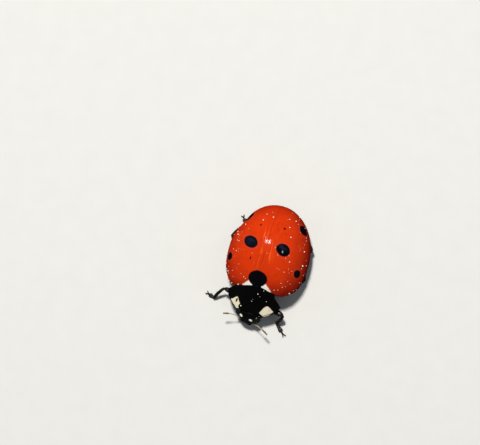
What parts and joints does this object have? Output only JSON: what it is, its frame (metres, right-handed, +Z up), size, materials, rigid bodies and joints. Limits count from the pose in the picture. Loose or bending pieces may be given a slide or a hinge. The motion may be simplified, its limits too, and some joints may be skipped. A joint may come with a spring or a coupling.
{
  "type": "ladybird",
  "caption": "Red ladybird beetle with black spots, standing on its feet with its head turned a little, as a still life-size model.",
  "frame": {"origin": "centre of the footprint box, on the surface that the feet stand on", "axes": "-Y the way the head points, +X the beetle's left side, +Z up"},
  "size_m": [0.0062, 0.0084, 0.0036],
  "materials": {
    "wing_case_red": "glossy orange-red wing case, deeper red at the sides, with black spots and fine punctures",
    "shell_black": "glossy black shell with cream patches at the front corners and on the head",
    "belly_black": "satin black underside with fine punctures and short pale hairs",
    "leg_black": "glossy black legs with short hairs",
    "eye_black": "black compound eye with fine facets",
    "feeler_tan": "yellow-brown feeler with a darker club",
    "mouth_brown": "dark brown mouthparts"
  },
  "bodies": {
    "root": {"elytron_left": "wing_case_red", "elytron_right": "wing_case_red", "scutellum": "shell_black", "pronotum": "shell_black", "prothorax": "belly_black", "mesothorax": "belly_black", "metathorax": "belly_black", "abdomen_1": "belly_black", "abdomen_2": "belly_black", "abdomen_3": "belly_black", "abdomen_4": "belly_black", "abdomen_5": "belly_black", "head": "shell_black", "clypeus": "shell_black", "labrum": "shell_black", "eye_left": "eye_black", "antenna_left": "feeler_tan", "mandible_left": "mouth_brown", "palp_left": "mouth_brown", "eye_right": "eye_black", "antenna_right": "feeler_tan", "mandible_right": "mouth_brown", "palp_right": "mouth_brown", "fore_left_coxa": "leg_black", "fore_left_femur": "leg_black", "fore_left_tibia": "leg_black", "fore_left_tarsus": "leg_black", "fore_right_coxa": "leg_black", "fore_right_femur": "leg_black", "fore_right_tibia": "leg_black", "fore_right_tarsus": "leg_black", "middle_left_coxa": "leg_black", "middle_left_femur": "leg_black", "middle_left_tibia": "leg_black", "middle_left_tarsus": "leg_black", "middle_right_coxa": "leg_black", "middle_right_femur": "leg_black", "middle_right_tibia": "leg_black", "middle_right_tarsus": "leg_black", "hind_left_coxa": "leg_black", "hind_left_femur": "leg_black", "hind_left_tibia": "leg_black", "hind_left_tarsus": "leg_black", "hind_right_coxa": "leg_black", "hind_right_femur": "leg_black", "hind_right_tibia": "leg_black", "hind_right_tarsus": "leg_black"}
  },
  "joints": []
}
